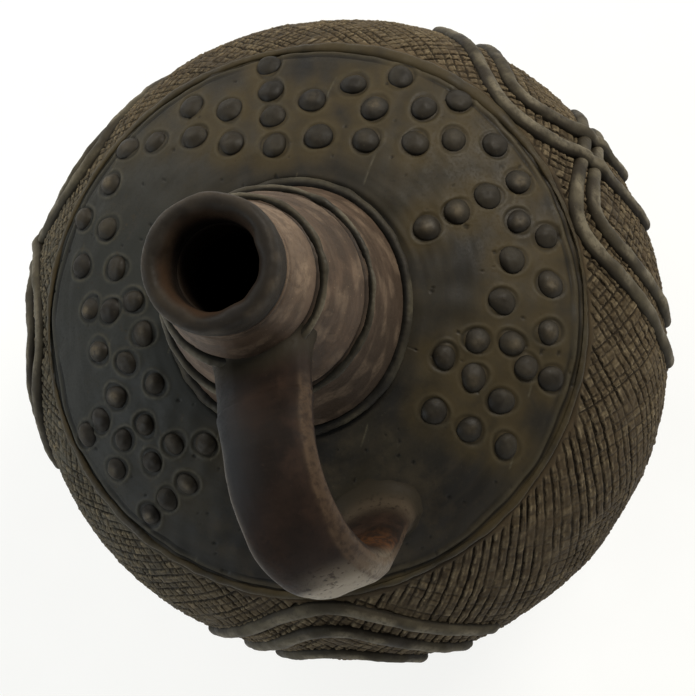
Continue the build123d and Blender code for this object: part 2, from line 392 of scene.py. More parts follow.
# ---- the belly and the bowl, with their incised cross-hatching ----
# distance up the wall from the equator, its radius there, and the turn made by a line at 45 degrees
RISE = np.linspace(-140, 80, 881)
RISE_R = EQUATOR_R - wall_arc(RISE) * (1 - np.cos(RISE / wall_arc(RISE)))
RISE_TURN = np.cumsum((RISE[1] - RISE[0]) / RISE_R)
RISE_TURN -= np.interp(0, RISE, RISE_TURN)
BELLY_RISE = BELLY_ARC * BELLY_ANGLE
# the comb's strokes, how far up and down the wall they reach, and the ring scored below them to close them
HATCH_LINES = 142
HATCH_SLANT = np.tan(np.radians(39))
HATCH_TOP = BELLY_RISE - 2.6
HATCH_FOOT = -46.0
CLOSING_RING = -49.0
# a stroke's half width and depth, the second family's share of it, and the burrs beside it
STROKE_HALF = 0.50
STROKE_DEEP = 0.85
SECOND_SHARE = 0.85
BURR_HALF = 0.42
BURR_HIGH = 0.42
BURR_AWAY = 1.05


def strokes(azimuth, rise, place, way, seed):
    """One family of comb strokes: its grooves and burrs, the gap between strokes that each point is in, how
    far across the nearest stroke it lies, and how deep that stroke is."""
    rng = np.random.default_rng(seed)
    phase = HATCH_LINES / TURN * (azimuth - way * HATCH_SLANT * np.interp(rise, RISE, RISE_TURN))
    phase = phase + 0.17 * lumps(place, 45, seed + 1) + 0.022 * lumps(place, 7, seed + 2)
    line = np.round(phase).astype(int) % HATCH_LINES
    offset = rng.normal(0, 0.07, HATCH_LINES)[line]
    pitch = TURN * np.interp(rise, RISE, RISE_R) / HATCH_LINES * np.cos(np.arctan(HATCH_SLANT))
    across = (phase - np.round(phase) - offset) * pitch
    cell = np.floor(phase).astype(int) % HATCH_LINES
    depth = rng.uniform(0.55, 1.1, HATCH_LINES)[line]
    depth = depth * (0.35 + 0.65 * ease(1.0 + 0.8 * lumps(place, 16, seed + 3)))
    groove = np.clip(depth, 0, 1.15) * bell(across, STROKE_HALF + 0.08 * lumps(place, 9, seed + 4))
    torn = ease(0.45 + 0.7 * lumps(place, 3.0, seed + 5, 12))
    burr = depth * torn * (bell(across - BURR_AWAY, BURR_HALF) + 0.5 * bell(across + BURR_AWAY, BURR_HALF))
    return groove, burr, cell, across, depth * ease((0.5 * pitch - np.abs(across)) / 0.7)


def wall_relief(azimuth, rise, place):
    """Height and marks of the belly's and bowl's outer surface, hatched over most of it."""
    edge = 1.2 * lumps(place, 14, 31)
    hatched = ease((HATCH_TOP + 0.6 * edge - rise) / 2.0) * ease((rise - HATCH_FOOT + 1.6 * edge) / 3.0)
    # the second family hardly shows high up near the handle
    weak = 1 - 0.80 * bell(turn_gap(azimuth, 20), 0.50) * ease((rise - 20) / 22)
    groove_a, burr_a, cell_a, across_a, depth_a = strokes(azimuth, rise, place, 1, 41)
    groove_b, burr_b, cell_b, across_b, depth_b = strokes(azimuth, rise, place, -1, 61)
    groove = np.maximum(groove_a, SECOND_SHARE * weak * groove_b) * hatched
    burr = np.maximum(burr_a, weak * burr_b) * hatched
    cell = np.random.default_rng(32).uniform(-1, 1, (HATCH_LINES, HATCH_LINES))[cell_a, cell_b]
    rough = 0.07 * lumps(place, 2.4, 33, 14) + 0.06 * lumps(place, 6.5, 34, 12) + 0.10 * cell * (1 - groove)
    closing = bell(rise - CLOSING_RING - 0.4 * edge, 0.9)
    scraped = 0.10 * ease((HATCH_FOOT - rise) / 4) * lumps(place * (0.25, 0.25, 1), 3.0, 35, 12)
    below_band = bell(rise - BELLY_RISE + BAND_HALF + 0.3, 0.5)
    height = BURR_HIGH * burr - STROKE_DEEP * groove + hatched * rough
    height += scraped - 0.8 * closing - 0.35 * below_band
    worn_and_highlit = (0.24 + 0.24 * cell) * hatched * ease(0.4 + 0.8 * lumps(place, 5, 36))
    return height, {
        # painted shade in the strokes, the closing ring and the trough under the band
        "groove": np.clip(0.35 * groove + 0.8 * closing + 0.9 * below_band, 0, 1),
        # paler burrs and cells: partly wear, partly painted highlight on the burrs
        "wear_and_highlight": np.clip(0.9 * burr + worn_and_highlit, 0, 1),
        "across_a": across_a,
        "across_b": across_b,
        "depth_a": depth_a * hatched,
        "depth_b": SECOND_SHARE * weak * depth_b * hatched,
        # painted cool light on the side towards azimuth 262
        "painted_cool_light": ease(1.3 - np.abs(turn_gap(azimuth, 262))),
        # painted shade on the side towards azimuth 26
        "painted_side_shade": 0.7 * ease(1.4 - np.abs(turn_gap(azimuth, 26))),
    }


def rows_every(start, end, step):
    """Evenly spaced places from a start up to an end, about a step apart."""
    return np.linspace(start, end, int(round((end - start) / step)) + 1)


def wall_piece(name, rises, inside):
    """A closed piece of the belly or bowl, its outer rows at rises up the wall from the equator."""
    azimuth, rise = np.meshgrid(full_turn(BELLY_COLUMNS), rises)
    arc = wall_arc(rise)
    z = EQUATOR_Z + arc * np.sin(rise / arc)
    place = around(azimuth, np.interp(rise, RISE, RISE_R), z)
    height, marks = wall_relief(azimuth, rise, place)
    grounded = ease(z / 14)
    lift = (height + unevenness(place)) * grounded
    points = place + around(azimuth, np.cos(rise / arc), np.sin(rise / arc)) * lift[..., None]
    return shell(name, points, inside, marks)


belly_in = arc_outline(EQUATOR_R - BELLY_ARC, EQUATOR_Z, BELLY_ARC - WALL, BELLY_ANGLE, 0, 8)
belly_wall = wall_piece("belly_wall", rows_every(0, BELLY_RISE, ROW_STEP), belly_in)

floor_angle = np.arcsin((EQUATOR_Z - FLOOR_THICK) / (BOWL_ARC - WALL))
bowl_in = arc_outline(EQUATOR_R - BOWL_ARC, EQUATOR_Z, BOWL_ARC - WALL, 0, -floor_angle, 12)
bowl_in += [(BASE_R, FLOOR_THICK), (BASE_R, 0.0)]
# stretches of the bowl's wall, start, end and step: rows lie further apart below the hatching
BOWL_STRETCHES = [(-BOWL_ARC * BOWL_ANGLE, -60, 2.4), (-60, -52, 1.1), (-52, 0, ROW_STEP)]
bowl_rises = np.unique(np.concatenate([rows_every(*stretch) for stretch in BOWL_STRETCHES]))
lower_bowl = wall_piece("lower_bowl", bowl_rises, bowl_in)

# ---- the shoulder, with grooves inside its band, and a raised ring of burnished slip round each pellet ----
HALO_REACH = 13.5
UNDER_NECK = 3.6
SCRATCH_WAY = np.array([0.62, 0.78, 0.0])
SCRATCHES_APART = 23.7


def pellet_rings(azimuth, r):
    """Height of the rims and grooves round the pellets, and the halo of worn slip beyond them."""
    rim, groove, halo = np.zeros_like(r), np.zeros_like(r), np.zeros_like(r)
    x, y = r * np.cos(azimuth), r * np.sin(azimuth)
    for number, (at, out, half, rimmed, stain) in enumerate(EVERY_PELLET):
        dx, dy = x - out * np.cos(at), y - out * np.sin(at)
        near = np.maximum(np.abs(dx), np.abs(dy)) < HALO_REACH + 0.5
        dx, dy = dx[near], dy[near]
        bearing = np.arctan2(dy, dx)
        wobble = 0.35 * np.sin(2 * bearing + number) + 0.2 * np.sin(3 * bearing + 2.3 * number)
        away = np.hypot(dx, dy) - wobble
        fade = 0.75 + 0.25 * np.sin(bearing + 1.7 * number)
        groove[near] = np.maximum(groove[near], fade * bell(away - half - 0.1, 0.6))
        rim[near] = np.maximum(rim[near], rimmed * fade * bell(away - half - 1.2, 0.65))
        halo[near] = np.maximum(halo[near], stain * ease((HALO_REACH - away) / 8.0))
    return rim, groove, halo


def shoulder_piece():
    """The domed shoulder, from the band in to the neck."""
    step = ROW_STEP * 0.96
    radii = RING_R - np.cumsum([0] + [step] * int((RING_R - NECK_R) / step))
    radii = np.append(radii, NECK_R - UNDER_NECK)
    azimuth, r = np.meshgrid(full_turn(SHOULDER_COLUMNS), radii)
    place = around(azimuth, r, DOME_Z + DOME_ARC * dome_normal(r)[1])
    rim, groove, halo = pellet_rings(azimuth, r)
    from_band = RING_R - r
    inward = from_band - BAND_HALF - 0.35 * lumps(place, 30, 71)
    trough = bell(inward - 0.4, 0.5)
    ridge = bell(inward - 1.6, 0.75)
    second = bell(inward - 2.9, 0.45) * ease(0.7 + 0.7 * lumps(place, 35, 72))
    at_neck = bell(r - NECK_R - 0.6 - neck_foot(azimuth), 0.9)
    wiped = 0.03 * lumps(np.stack([place[..., 0] * 0.05, place[..., 1] * 0.05, r], -1), 2.2, 73, 12)
    pits = ease((lumps(place, 3.4, 74, 14) - 1.75) / 0.4)
    dents = 0.14 * lumps(place, 9, 75)
    scratch = bell((place @ SCRATCH_WAY) % SCRATCHES_APART - 11 + lumps(place, 45, 76), 0.22)
    scratch = scratch * ease((lumps(place, 22, 77) - 0.9) / 0.2)
    height = wiped + dents - 0.35 * pits - 0.16 * scratch
    height += 0.40 * ridge - 0.60 * trough - 0.40 * second + 0.30 * rim - 0.35 * groove - 0.5 * at_neck
    marks = {
        # painted shade in the band's troughs, round the pellets, in pits and at the neck's foot
        "groove": np.clip(trough + 0.8 * second + 0.55 * groove + 0.6 * pits + at_neck, 0, 1),
        # paler ridge, pellet rims and scratches: the scratches are wear, the ridge and rims partly painted
        # highlight
        "wear_and_highlight": np.clip(0.25 * ridge + 0.50 * rim + 0.7 * scratch, 0, 1),
        "halo": np.maximum(halo, 0.8 * ease((4.5 - from_band) / 3)),
        # painted cool light on the side towards azimuth 255
        "painted_cool_light": ease(1.4 - np.abs(turn_gap(azimuth, 255))),
    }
    hole = NECK_R - WALL - 1.0
    inner_arc = DOME_ARC - WALL
    inside = [(hole, NECK_Z)]
    for angle in np.linspace(np.arcsin((hole - DOME_R) / inner_arc), DOME_SLOPE - 0.01, 10):
        inside.append((DOME_R + inner_arc * np.sin(angle), DOME_Z + inner_arc * np.cos(angle)))
    return shell("shoulder_dome", shoulder(azimuth, r, height), inside, marks)


shoulder_dome = shoulder_piece()

# a pellet from under the slip up: share of its half width, and height where it stands PROFILE_TALL
PROFILE_TALL = 2.75
PELLET_PROFILE = [
    (1.0, -2.2), (1.03, -0.6), (1.0, 0.1), (0.95, 0.55), (0.86, 1.12), (0.73, 1.72), (0.58, 2.2),
    (0.42, 2.52), (0.27, 2.68), (0.14, 2.74), (0.04, PROFILE_TALL),
]
PELLET_TALL = 2.1


def pellet_tube(azimuth, out, half, seed):
    """Rings of one pressed pellet, from under the slip to its top."""
    rng = np.random.default_rng(seed)
    bearing = full_turn(PELLET_COLUMNS)
    azimuth, out = np.array(azimuth), np.array(out)
    base = shoulder(azimuth, out)
    up = around(azimuth, *dome_normal(out))
    side = np.array([-np.sin(azimuth), np.cos(azimuth), 0.0])
    other = np.cross(up, side)
    wide = half * rng.uniform(0.92, 1.06)
    tall = PELLET_TALL * rng.uniform(0.85, 1.10)
    oval, oval_way = rng.uniform(0.0, 0.09), rng.uniform(0, TURN)
    tip = rng.normal(0, 0.5, 2)
    form = 1 + oval * np.cos(2 * (bearing - oval_way)) + 0.02 * np.sin(3 * bearing + seed)
    rings = []
    for reach, lift in PELLET_PROFILE:
        lift = lift * tall / PROFILE_TALL if lift > 0 else lift
        shift = tip * max(lift, 0) / tall
        across = wide * reach * form * np.cos(bearing) + shift[0]
        along = wide * reach * form * np.sin(bearing) + shift[1]
        grain = 0.10 * lumps(np.stack([across + 9 * seed, along, 0 * along + lift], -1), 3.0, 81) * (lift > 0)
        rings.append(base + across[:, None] * side + along[:, None] * other + (lift + grain)[:, None] * up)
    return np.array(rings)


pellet_groups = {}
ring_number = np.arange(len(PELLET_PROFILE))
crown = np.repeat(ease((ring_number - 5) / 4.0), PELLET_COLUMNS)
lowest = np.repeat(bell(ring_number - 1.5, 1.3), PELLET_COLUMNS)
for group_number, (node, group) in enumerate(PELLETS.items()):
    half = PELLET_SIZES[node][0]
    tubes = [pellet_tube(*pellet, half, 100 * group_number + number) for number, pellet in enumerate(group)]
    chance = np.random.default_rng(90 + group_number)
    # crowns paler at random, partly wear and partly painted highlight; painted shade round each pellet's foot
    worn_and_highlit = np.concatenate([crown * chance.uniform(0, 1) ** 3 for _ in tubes])
    pellet_groups[node] = join_tubes(node, tubes, {"wear_and_highlight": worn_and_highlit, "groove": np.tile(lowest, len(tubes))})


# ---- the band between belly and shoulder, and the neck's three ribs ----
def ring_piece(name, centre_r, centre_z, section, relief, lean=None):
    """A closed ring from a section of (out, up) points round its centre."""
    outline = [(centre_r + out, centre_z + up) for out, up in section]
    return turned(name, outline, RING_COLUMNS, relief, lean)


def band_relief(azimuth, place, row):
    """A thumbed band: shallow facets along it, a worn crest."""
    height = unevenness(place) + 0.16 * lumps(place, 8, 91) + 0.05 * lumps(place, 2.4, 92, 12)
    wear_and_highlight = ease(0.15 + 0.5 * lumps(place, 11, 93))
    return height, {"wear_and_highlight": 0.25 * wear_and_highlight, "halo": 0.8 + 0 * wear_and_highlight}


# the band's section is an oval lying on the slope where the belly and the shoulder meet
BAND_LEAN = (BELLY_ANGLE + np.pi / 2 - DOME_SLOPE) / 2
band_section = []
for turn in full_turn(BAND_POINTS):
    up, along = BAND_TALL * np.cos(turn), BAND_HALF * np.sin(turn)
    out = up * np.cos(BAND_LEAN) - along * np.sin(BAND_LEAN)
    band_section.append((out, up * np.sin(BAND_LEAN) + along * np.cos(BAND_LEAN)))
shoulder_band = ring_piece("shoulder_band", RING_R, RING_Z, band_section, band_relief)

# each rib's radius and height, then its section's half width, half height and height above that
RIBS = {
    "neck_rib_lower": (NECK_OUTSIDE[0], RIB_LOWER_Z, 2.0, 1.6, 0.6),
    "neck_rib_middle": (NECK_OUTSIDE[1], RIB_MIDDLE_Z, 1.5, 1.1, 0),
    "neck_rib_upper": (NECK_OUTSIDE[2], RIB_UPPER_Z, 1.5, 1.1, 0),
}


def rib_relief(azimuth, place, row):
    """A pinched rib: a double crest in places. By the handle the upper rib is thicker, the others thinner."""
    height = 0.5 * unevenness(place) + 0.14 * lumps(place, 9, 94) + 0.04 * lumps(place, 2.2, 95, 12)
    upper = ease((place[..., 2] - RIB_UPPER_Z + 6) / 4)
    height = height + (1.4 * upper - 0.3) * bell(turn_gap(azimuth, -5), 0.40)
    turn = TURN * row / RIB_POINTS
    # the crest is paler, partly wear and partly painted highlight; the rib's upper inner side gets painted
    # shade
    crest = bell(turn - 0.30, 0.40) + 0.6 * bell(turn - 1.0, 0.35)
    height = height + 0.2 * crest * ease(0.7 + 0.5 * lumps(place, 25, 96))
    wear_and_highlight = np.clip(crest * ease(0.45 + 0.5 * lumps(place, 12, 97)), 0, 1)
    inner_side = ease((turn - 1.15) / 0.5) * (turn < 4.2)
    return height, {"wear_and_highlight": 0.7 * wear_and_highlight, "groove": 0.95 * inner_side + 0 * wear_and_highlight}


ribs = {}
for node, (rib_r, rib_z, wide, tall, up) in RIBS.items():
    section = [(wide * np.cos(t), tall * np.sin(t) + up) for t in full_turn(RIB_POINTS)]
    ribs[node] = ring_piece(node, rib_r, rib_z, section, rib_relief, neck_lean)


# ---- the neck: three drawn-up lengths ----
def neck_relief(low, high):
    """Relief of one length of neck between two heights: wiped round, with a groove beside each rib."""

    def relief(azimuth, place, row):
        z = place[..., 2]
        wiped = 0.035 * lumps(place * (0.12, 0.12, 1), 2.6, 98, 12)
        drawn = 0.035 * lumps(place * (1, 1, 0.15), 3.2, 99, 12)
        groove = bell(z - low - 1.9, 1.0) + 0.3 * bell(high - z - 1.6, 0.6)
        nicks = ease((lumps(place * (1, 1, 0.6), 5, 100, 12) - 1.5) / 0.3)
        height = 0.5 * unevenness(place) + wiped + drawn - 1.3 * groove - 0.12 * nicks
        # painted highlight on the lit side of the neck's top, towards azimuth 105
        painted_lit_side = 0.26 * ease((z - RIB_UPPER_Z - 2) / 6) * ease(1.5 - np.abs(turn_gap(azimuth, 105)))
        streaks = 0.25 * ease(lumps(place * (0.2, 0.2, 1), 3, 103))
        shaded = ease((RIB_MIDDLE_Z + 6 - z) / 26) * ease(1.25 - 1.2 * np.abs(turn_gap(azimuth, 30)))
        outside = row < NECK_ROWS
        return height * outside, {
            # painted shade in the groove beside each rib, and over the whole inside of the neck
            "groove": np.where(outside, np.clip(1.5 * groove, 0, 1), 1),
            "wear_and_highlight": np.clip(0.12 * nicks + streaks + painted_lit_side, 0, 1) * outside,
            "shaded": shaded * outside,
        }

    return relief


neck_pieces = {}
rising, falling = np.linspace(0, 1, NECK_ROWS), np.linspace(1, 0, NECK_INSIDE_ROWS)
for length, node in enumerate(("neck_lower", "neck_middle", "neck_top")):
    ends = slice(length, length + 2)
    low_z, high_z = NECK_HEIGHTS[ends]
    outer_r = np.interp(rising, (0, 1), NECK_OUTSIDE[ends]) - NECK_HOLLOW[length] * np.sin(np.pi * rising)
    inner_r = np.interp(falling, (0, 1), NECK_INSIDE[ends])
    z = low_z + (high_z - low_z) * np.concatenate([rising, falling])
    outline = np.stack([np.concatenate([outer_r, inner_r]), z], axis=1)
    neck_pieces[node] = turned(node, outline, NECK_COLUMNS, neck_relief(low_z, high_z), neck_lean)

# ---- the lip: a thick rolled bead, its top pressed nearly flat ----
# radius, and height above the neck, from the outside over the top and down the bore
LIP_LINE = [
    (18.6, 0.0), (18.8, 1.4), (19.1, 3.6), (19.4, 6.0), (19.6, 8.5), (19.6, 10.6), (19.35, 12.2),
    (18.7, 13.4), (17.7, 14.05), (16.6, 14.2), (15.5, 13.9), (14.6, 13.1), (13.9, 11.8), (13.4, 10.0),
    (13.1, 7.5), (BORE_R, 5.0), (BORE_R, 0.0),
]
LIP_UNDERSIDE = [(15.0, 0.0), (17.0, 0.0)]


def lip_relief(azimuth, place, row):
    """The bead's uneven top and its many-sided inner edge."""
    _, r, z = polar(place)
    level = z - LIP_Z
    top = ease((level - 8) / 5)
    sided = 0.35 * np.sin(5 * azimuth + 0.6) + 0.22 * np.sin(8 * azimuth + 2.0) + 0.12 * np.sin(13 * azimuth)
    height = 0.16 * lumps(place, 14, 111) + 0.03 * lumps(place, 4, 112) + 0.012 * lumps(place, 1.8, 113, 12)
    height = height + top * ease((16.5 - r) / 2.5) * sided
    # painted shade in the crease under the bead and down the bore, darker the deeper it goes; the bead's
    # outer top edge is paler, partly wear and partly painted highlight
    crease = bell(level - 1.3, 0.7)
    wear_and_highlight = top * ease((r - 17.2) / 1.6) * ease(0.4 + 0.5 * lumps(place, 8, 114))
    deep = ease((11 - level) / 7) * (r < 15)
    marks = {"groove": np.maximum(crease, 0.95 * deep), "wear_and_highlight": 0.5 * wear_and_highlight, "halo": ease((15.8 - r) / 2.4)}
    return (height - 0.5 * crease) * ease(level / 1.5), marks


lip_far = distance_along(LIP_LINE)
lip_outline = smooth_through(LIP_LINE, lip_far, np.linspace(0, lip_far[-1], int(lip_far[-1] / LIP_STEP) + 1))
lip_outline = np.concatenate([lip_outline, LIP_UNDERSIDE]) + (0, LIP_Z)
lip_ring = turned("lip_ring", lip_outline, LIP_COLUMNS, lip_relief)

# ---- rolled coils laid on the belly ----
COIL_HALF = 3.0
COIL_TALL = 2.9
COIL_SUNK = 0.35
COIL_TIP = 3.2
CROSSING_LIFT = 1.9
CROSSING_REACH = 6.0
COIL_TURN = full_turn(COIL_COLUMNS) + 0.5 * TURN / COIL_COLUMNS


def arch_line(azimuth, top, steepness, half_span):
    """Azimuths in radians and angles up the wall of points at even steps along an arch."""
    offset = np.linspace(-half_span, half_span, ARCH_POINTS)
    turn, angle = np.radians(azimuth + offset), belly_angle(EQUATOR_Z + top - steepness * offset**2)
    far = distance_along(belly(turn, angle))
    even = np.linspace(0, far[-1], int(far[-1] / COIL_STEP))
    return np.interp(even, far, turn), np.interp(even, far, angle)


ARCH_LINES = {node: arch_line(*arch) for node, arch in ARCHES.items()}


def crossing_lift(node, place):
    """How high a coil rides over the coils that it crosses."""
    lift = np.zeros(len(place))
    if "_over_" not in node:
        return lift
    for other, line in ARCH_LINES.items():
        if "_over_" not in other:
            gap = np.linalg.norm(place[:, None] - belly(*line)[None, ::3], axis=2).min(axis=1)
            lift = np.maximum(lift, CROSSING_LIFT * bell(gap, CROSSING_REACH))
    return lift


def coil_tube(node, seed):
    """Rings of one rolled coil, half sunk in the wall, flattened where it was pressed down."""
    turn, angle = ARCH_LINES[node]
    far = np.arange(len(turn)) * COIL_STEP
    sway = 0.45 * lumps(np.stack([far, 0 * far, 0 * far], -1), 34, seed)
    base = belly(turn, angle) + np.stack([0 * far, 0 * far, sway], -1)
    along = unit(np.gradient(base, axis=0))
    out = around(turn, np.cos(angle), np.sin(angle))
    out = unit(out - along * np.sum(out * along, axis=1)[:, None])
    across = np.cross(out, along)
    from_end = np.minimum(far, far[::-1])
    ending = np.sqrt(np.clip(1 - (1 - np.clip(from_end / COIL_TIP, 0, 1)) ** 2, 0.02, 1))
    length = np.stack([far, 0 * far + 50 * seed, 0 * far], -1)
    wide = COIL_HALF * (1 + 0.05 * lumps(length, 13, 121)) * ending
    tall = COIL_TALL * (1 + 0.05 * lumps(length, 17, 122)) * (0.35 + 0.65 * ending)
    side, up = np.cos(COIL_TURN), np.sin(COIL_TURN)
    profile = np.where(up > 0, np.abs(up) ** 0.9, -0.8 * np.abs(up))
    height = tall[:, None] * profile + crossing_lift(node, base)[:, None] - COIL_SUNK
    rings = base[:, None] + across[:, None] * (wide[:, None] * side)[..., None]
    rings = rings + out[:, None] * height[..., None]
    rough = 0.09 * lumps(rings, 6, 123) + 0.05 * lumps(rings, 2.4, 124, 12)
    normal = across[:, None] * side[:, None] + out[:, None] * up[:, None]
    return rings + normal * rough[..., None]


coils = {}
for number, node in enumerate(ARCHES):
    rings = coil_tube(node, 130 + number)
    # painted highlight along each coil's crest, and painted shade in the crevice where it meets the wall
    wear_and_highlight = ease((np.sin(COIL_TURN) - 0.55) / 0.4) * ease(0.5 + 0.45 * lumps(rings, 12, 141))
    sunk = np.tile(bell(np.sin(COIL_TURN) - 0.05, 0.22), len(rings))
    coils[node] = join_tubes(node, [rings], {"wear_and_highlight": wear_and_highlight, "groove": sunk})

# ---- the strap handle: places along it, (x, y, z), then its width and thickness ----
STRAP_STATIONS = np.array([
    (22, -3, 247, 38, 17),
    (33, -5, 257, 33, 14),
    (46, -6.5, 267, 27, 12),
    (62, -8.5, 270, 27, 12),
    (77, -9, 263, 27, 12),
    (86.5, -7.5, 248, 27, 12),
    (88.5, -6, 228, 25, 12),
    (84.5, -4, 208, 24, 12),
    (78, -1.5, 188, 24, 14),
    (73, 0, 172, 27, 18),
])
LOOP_MIDDLE = np.array([52.0, -3.0, 222.0])
# the bevel along the strap's +Y edge is narrow near the neck and broad from the bend on
BEVEL_NARROW = 2.2
BEVEL_BROAD = 4.6
# where the outer bend starts to be crazed, and where its outer face gets a brighter painted highlight
BEND_X = 84.5
BEND_Z = 205.0
BEND_HIGHLIGHT_X = 89.5
STRAP_TURN = full_turn(STRAP_COLUMNS)


def strap_frames():
    """Middle, across and outward directions, half width and half thickness of the strap, about every step."""
    far = distance_along(STRAP_STATIONS[:, :3])
    read = smooth_through(STRAP_STATIONS, far, np.linspace(0, far[-1], int(far[-1] / STRAP_STEP)))
    middle, wide, thick = read[:, :3], read[:, 3] / 2, read[:, 4] / 2
    along = unit(np.gradient(middle, axis=0))
    across = unit(np.array([0.0, 1.0, 0.0]) - along * along[:, 1:2])
    out = np.cross(along, across)
    out *= np.sign(np.sum(out * (middle - LOOP_MIDDLE), axis=1))[:, None]
    return middle, across, out, wide, thick


def strap_section(wide, thick, bevel):
    """The strap's section, (across, out): nearly flat outside, with a bevel along its +Y edge."""
    c, s = np.cos(STRAP_TURN), np.sin(STRAP_TURN)
    u = wide * np.sign(c) * np.abs(c) ** 0.78
    v = thick * np.sign(s) * np.abs(s) ** 0.86
    slope = np.clip((u - wide) / bevel + 1, 0, 1)
    return u, np.where(v > 0, np.minimum(v, thick * (0.94 - 0.62 * slope)), v)


strap_middle, strap_across, strap_out, strap_wide, strap_thick = strap_frames()


def frame_row(x, z):
    """The strap's frame nearest to a place seen from the side."""
    return int(np.argmin(np.hypot(strap_middle[:, 0] - x, strap_middle[:, 2] - z)))


# where the smeared ends take over from the strap
NECK_END_ROW = frame_row(41, 263)
FOOT_END_ROW = frame_row(82, 199)
END_OVERLAP = 8


def strap_skin(rows):
    """Points of the strap's surface at rows of its frames, and their marks: pulled lengthways, dented by
    fingers, crazed at the outer bend, with a crisp ridge where the bevel starts."""
    wide, thick = strap_wide[rows, None], strap_thick[rows, None]
    far = rows[:, None] * STRAP_STEP + np.zeros(STRAP_COLUMNS)
    bevel = BEVEL_NARROW + (BEVEL_BROAD - BEVEL_NARROW) * ease((far - 30) / 50)
    u, v = strap_section(wide, thick, bevel)
    across, out = strap_across[rows][:, None], strap_out[rows][:, None]
    points = strap_middle[rows][:, None] + across * u[..., None] + out * v[..., None]
    pulled = np.stack([u, v, far * 0.12], -1)
    height = 0.25 * lumps(points, 26, 151) + 0.06 * lumps(points, 8, 152)
    height = height + 0.025 * lumps(pulled, 2.6, 153, 12) + 0.012 * lumps(points, 2.0, 154, 12)
    upper = ease((points[..., 2] - BEND_Z) / 25)
    bend = ease((points[..., 0] - BEND_X) / 6.5) * upper
    pits = ease((lumps(points, 2.4, 155, 14) - 1.35) / 0.35) * bend
    past_ridge = u - (wide - bevel)
    ridge = bell(past_ridge, 0.9) * (v > 0)
    height = height - 0.2 * pits + 0.06 * ridge
    normal = across * np.cos(STRAP_TURN)[:, None] + out * np.sin(STRAP_TURN)[:, None]
    bevelled = ease(past_ridge + 0.5) * (v > 0)
    edge = bell(v / thick - 0.10, 0.30) * (u < 0)
    kept = ease((far - NECK_END_ROW * STRAP_STEP) / 12) * ease((FOOT_END_ROW * STRAP_STEP - far) / 24)
    marks = {
        # painted shade in the crazing pits
        "groove": 0.75 * pits,
        # paler ridge and bevel: partly wear, partly painted highlight on the bevel
        "wear_and_highlight": np.clip(0.30 * ridge + 0.75 * bevelled, 0, 1) * ease((far - 8) / 10),
        # the outer bend's cream: partly its pale crazed clay, partly painted highlight
        "bend": bend * ease(0.85 + u / wide + 0.4 * (v < 0)),
        # painted highlight on the bend's outermost face
        "painted_bend_highlight": ease((points[..., 0] - BEND_HIGHLIGHT_X) / 3.0) * upper,
        # painted bluish reflection on the upper face's -u side, fading along the strap
        "painted_cool_light": ease(0.1 - u / wide) * (v > 0) * (1 - ease((far - 38) / 26)),
        "stain": (v < 0) * bell(points[..., 2] - 221, 10),
        # painted rim highlight along the strap's -u edge
        "rim": edge * kept * ease(0.80 + 0.40 * lumps(points, 16, 156)),
    }
    return points + normal * height[..., None], marks


def strap_piece():
    """The strap between its two ends, running a little way into each, where it draws in."""
    rows = np.arange(NECK_END_ROW - END_OVERLAP, FOOT_END_ROW + END_OVERLAP + 1)
    points, marks = strap_skin(rows)
    past = np.maximum(NECK_END_ROW - 2 - rows, rows - FOOT_END_ROW - 2).clip(0) / (END_OVERLAP - 2)
    draw_in = (1 - 0.45 * past**2)[:, None, None]
    middle = strap_middle[rows][:, None]
    return join_tubes("handle_strap", [middle + (points - middle) * draw_in], marks)


handle_strap = strap_piece()

# ---- the handle's ends: clay smeared from the strap out over the neck and over the shoulder ----
END_ROWS = 44
END_INSIDE_ROWS = 6
# how deep the smear dips where it leaves the strap, and how far it may have to reach to the body
END_DIP = 0.22
FURTHEST = 60.0


def neck_gap(points):
    """How far points stand outside the neck's cone."""
    _, r, z = polar(points)
    return r - np.interp(z, NECK_HEIGHTS, NECK_OUTSIDE)


def shoulder_gap(points):
    """How far points stand above the shoulder."""
    _, r, z = polar(points)
    return z - DOME_Z - DOME_ARC * dome_normal(r)[1]


def reach_surface(start, way, gap):
    """Where lines from points along one direction first come to the surface."""
    near, past = np.zeros(len(start)), np.full(len(start), FURTHEST)
    for _ in range(30):
        half = (near + past) / 2
        outside = gap(start + way * half[:, None]) > 0
        near, past = np.where(outside, half, near), np.where(outside, past, half)
    return start + way * near[:, None]


def onto_shoulder(points):
    """Points moved down or up to lie just under the shoulder's uneven surface."""
    azimuth, r, _ = polar(points)
    return shoulder(azimuth, r, -0.35)


def onto_neck(points):
    """Points moved in or out to lie just under the neck's surface."""
    azimuth, _, z = polar(points)
    place = around(azimuth, np.interp(z, NECK_HEIGHTS, NECK_OUTSIDE), z)
    return place + (0.5 * unevenness(place) - 0.9)[:, None] * around(azimuth, 1.0, 0.0)


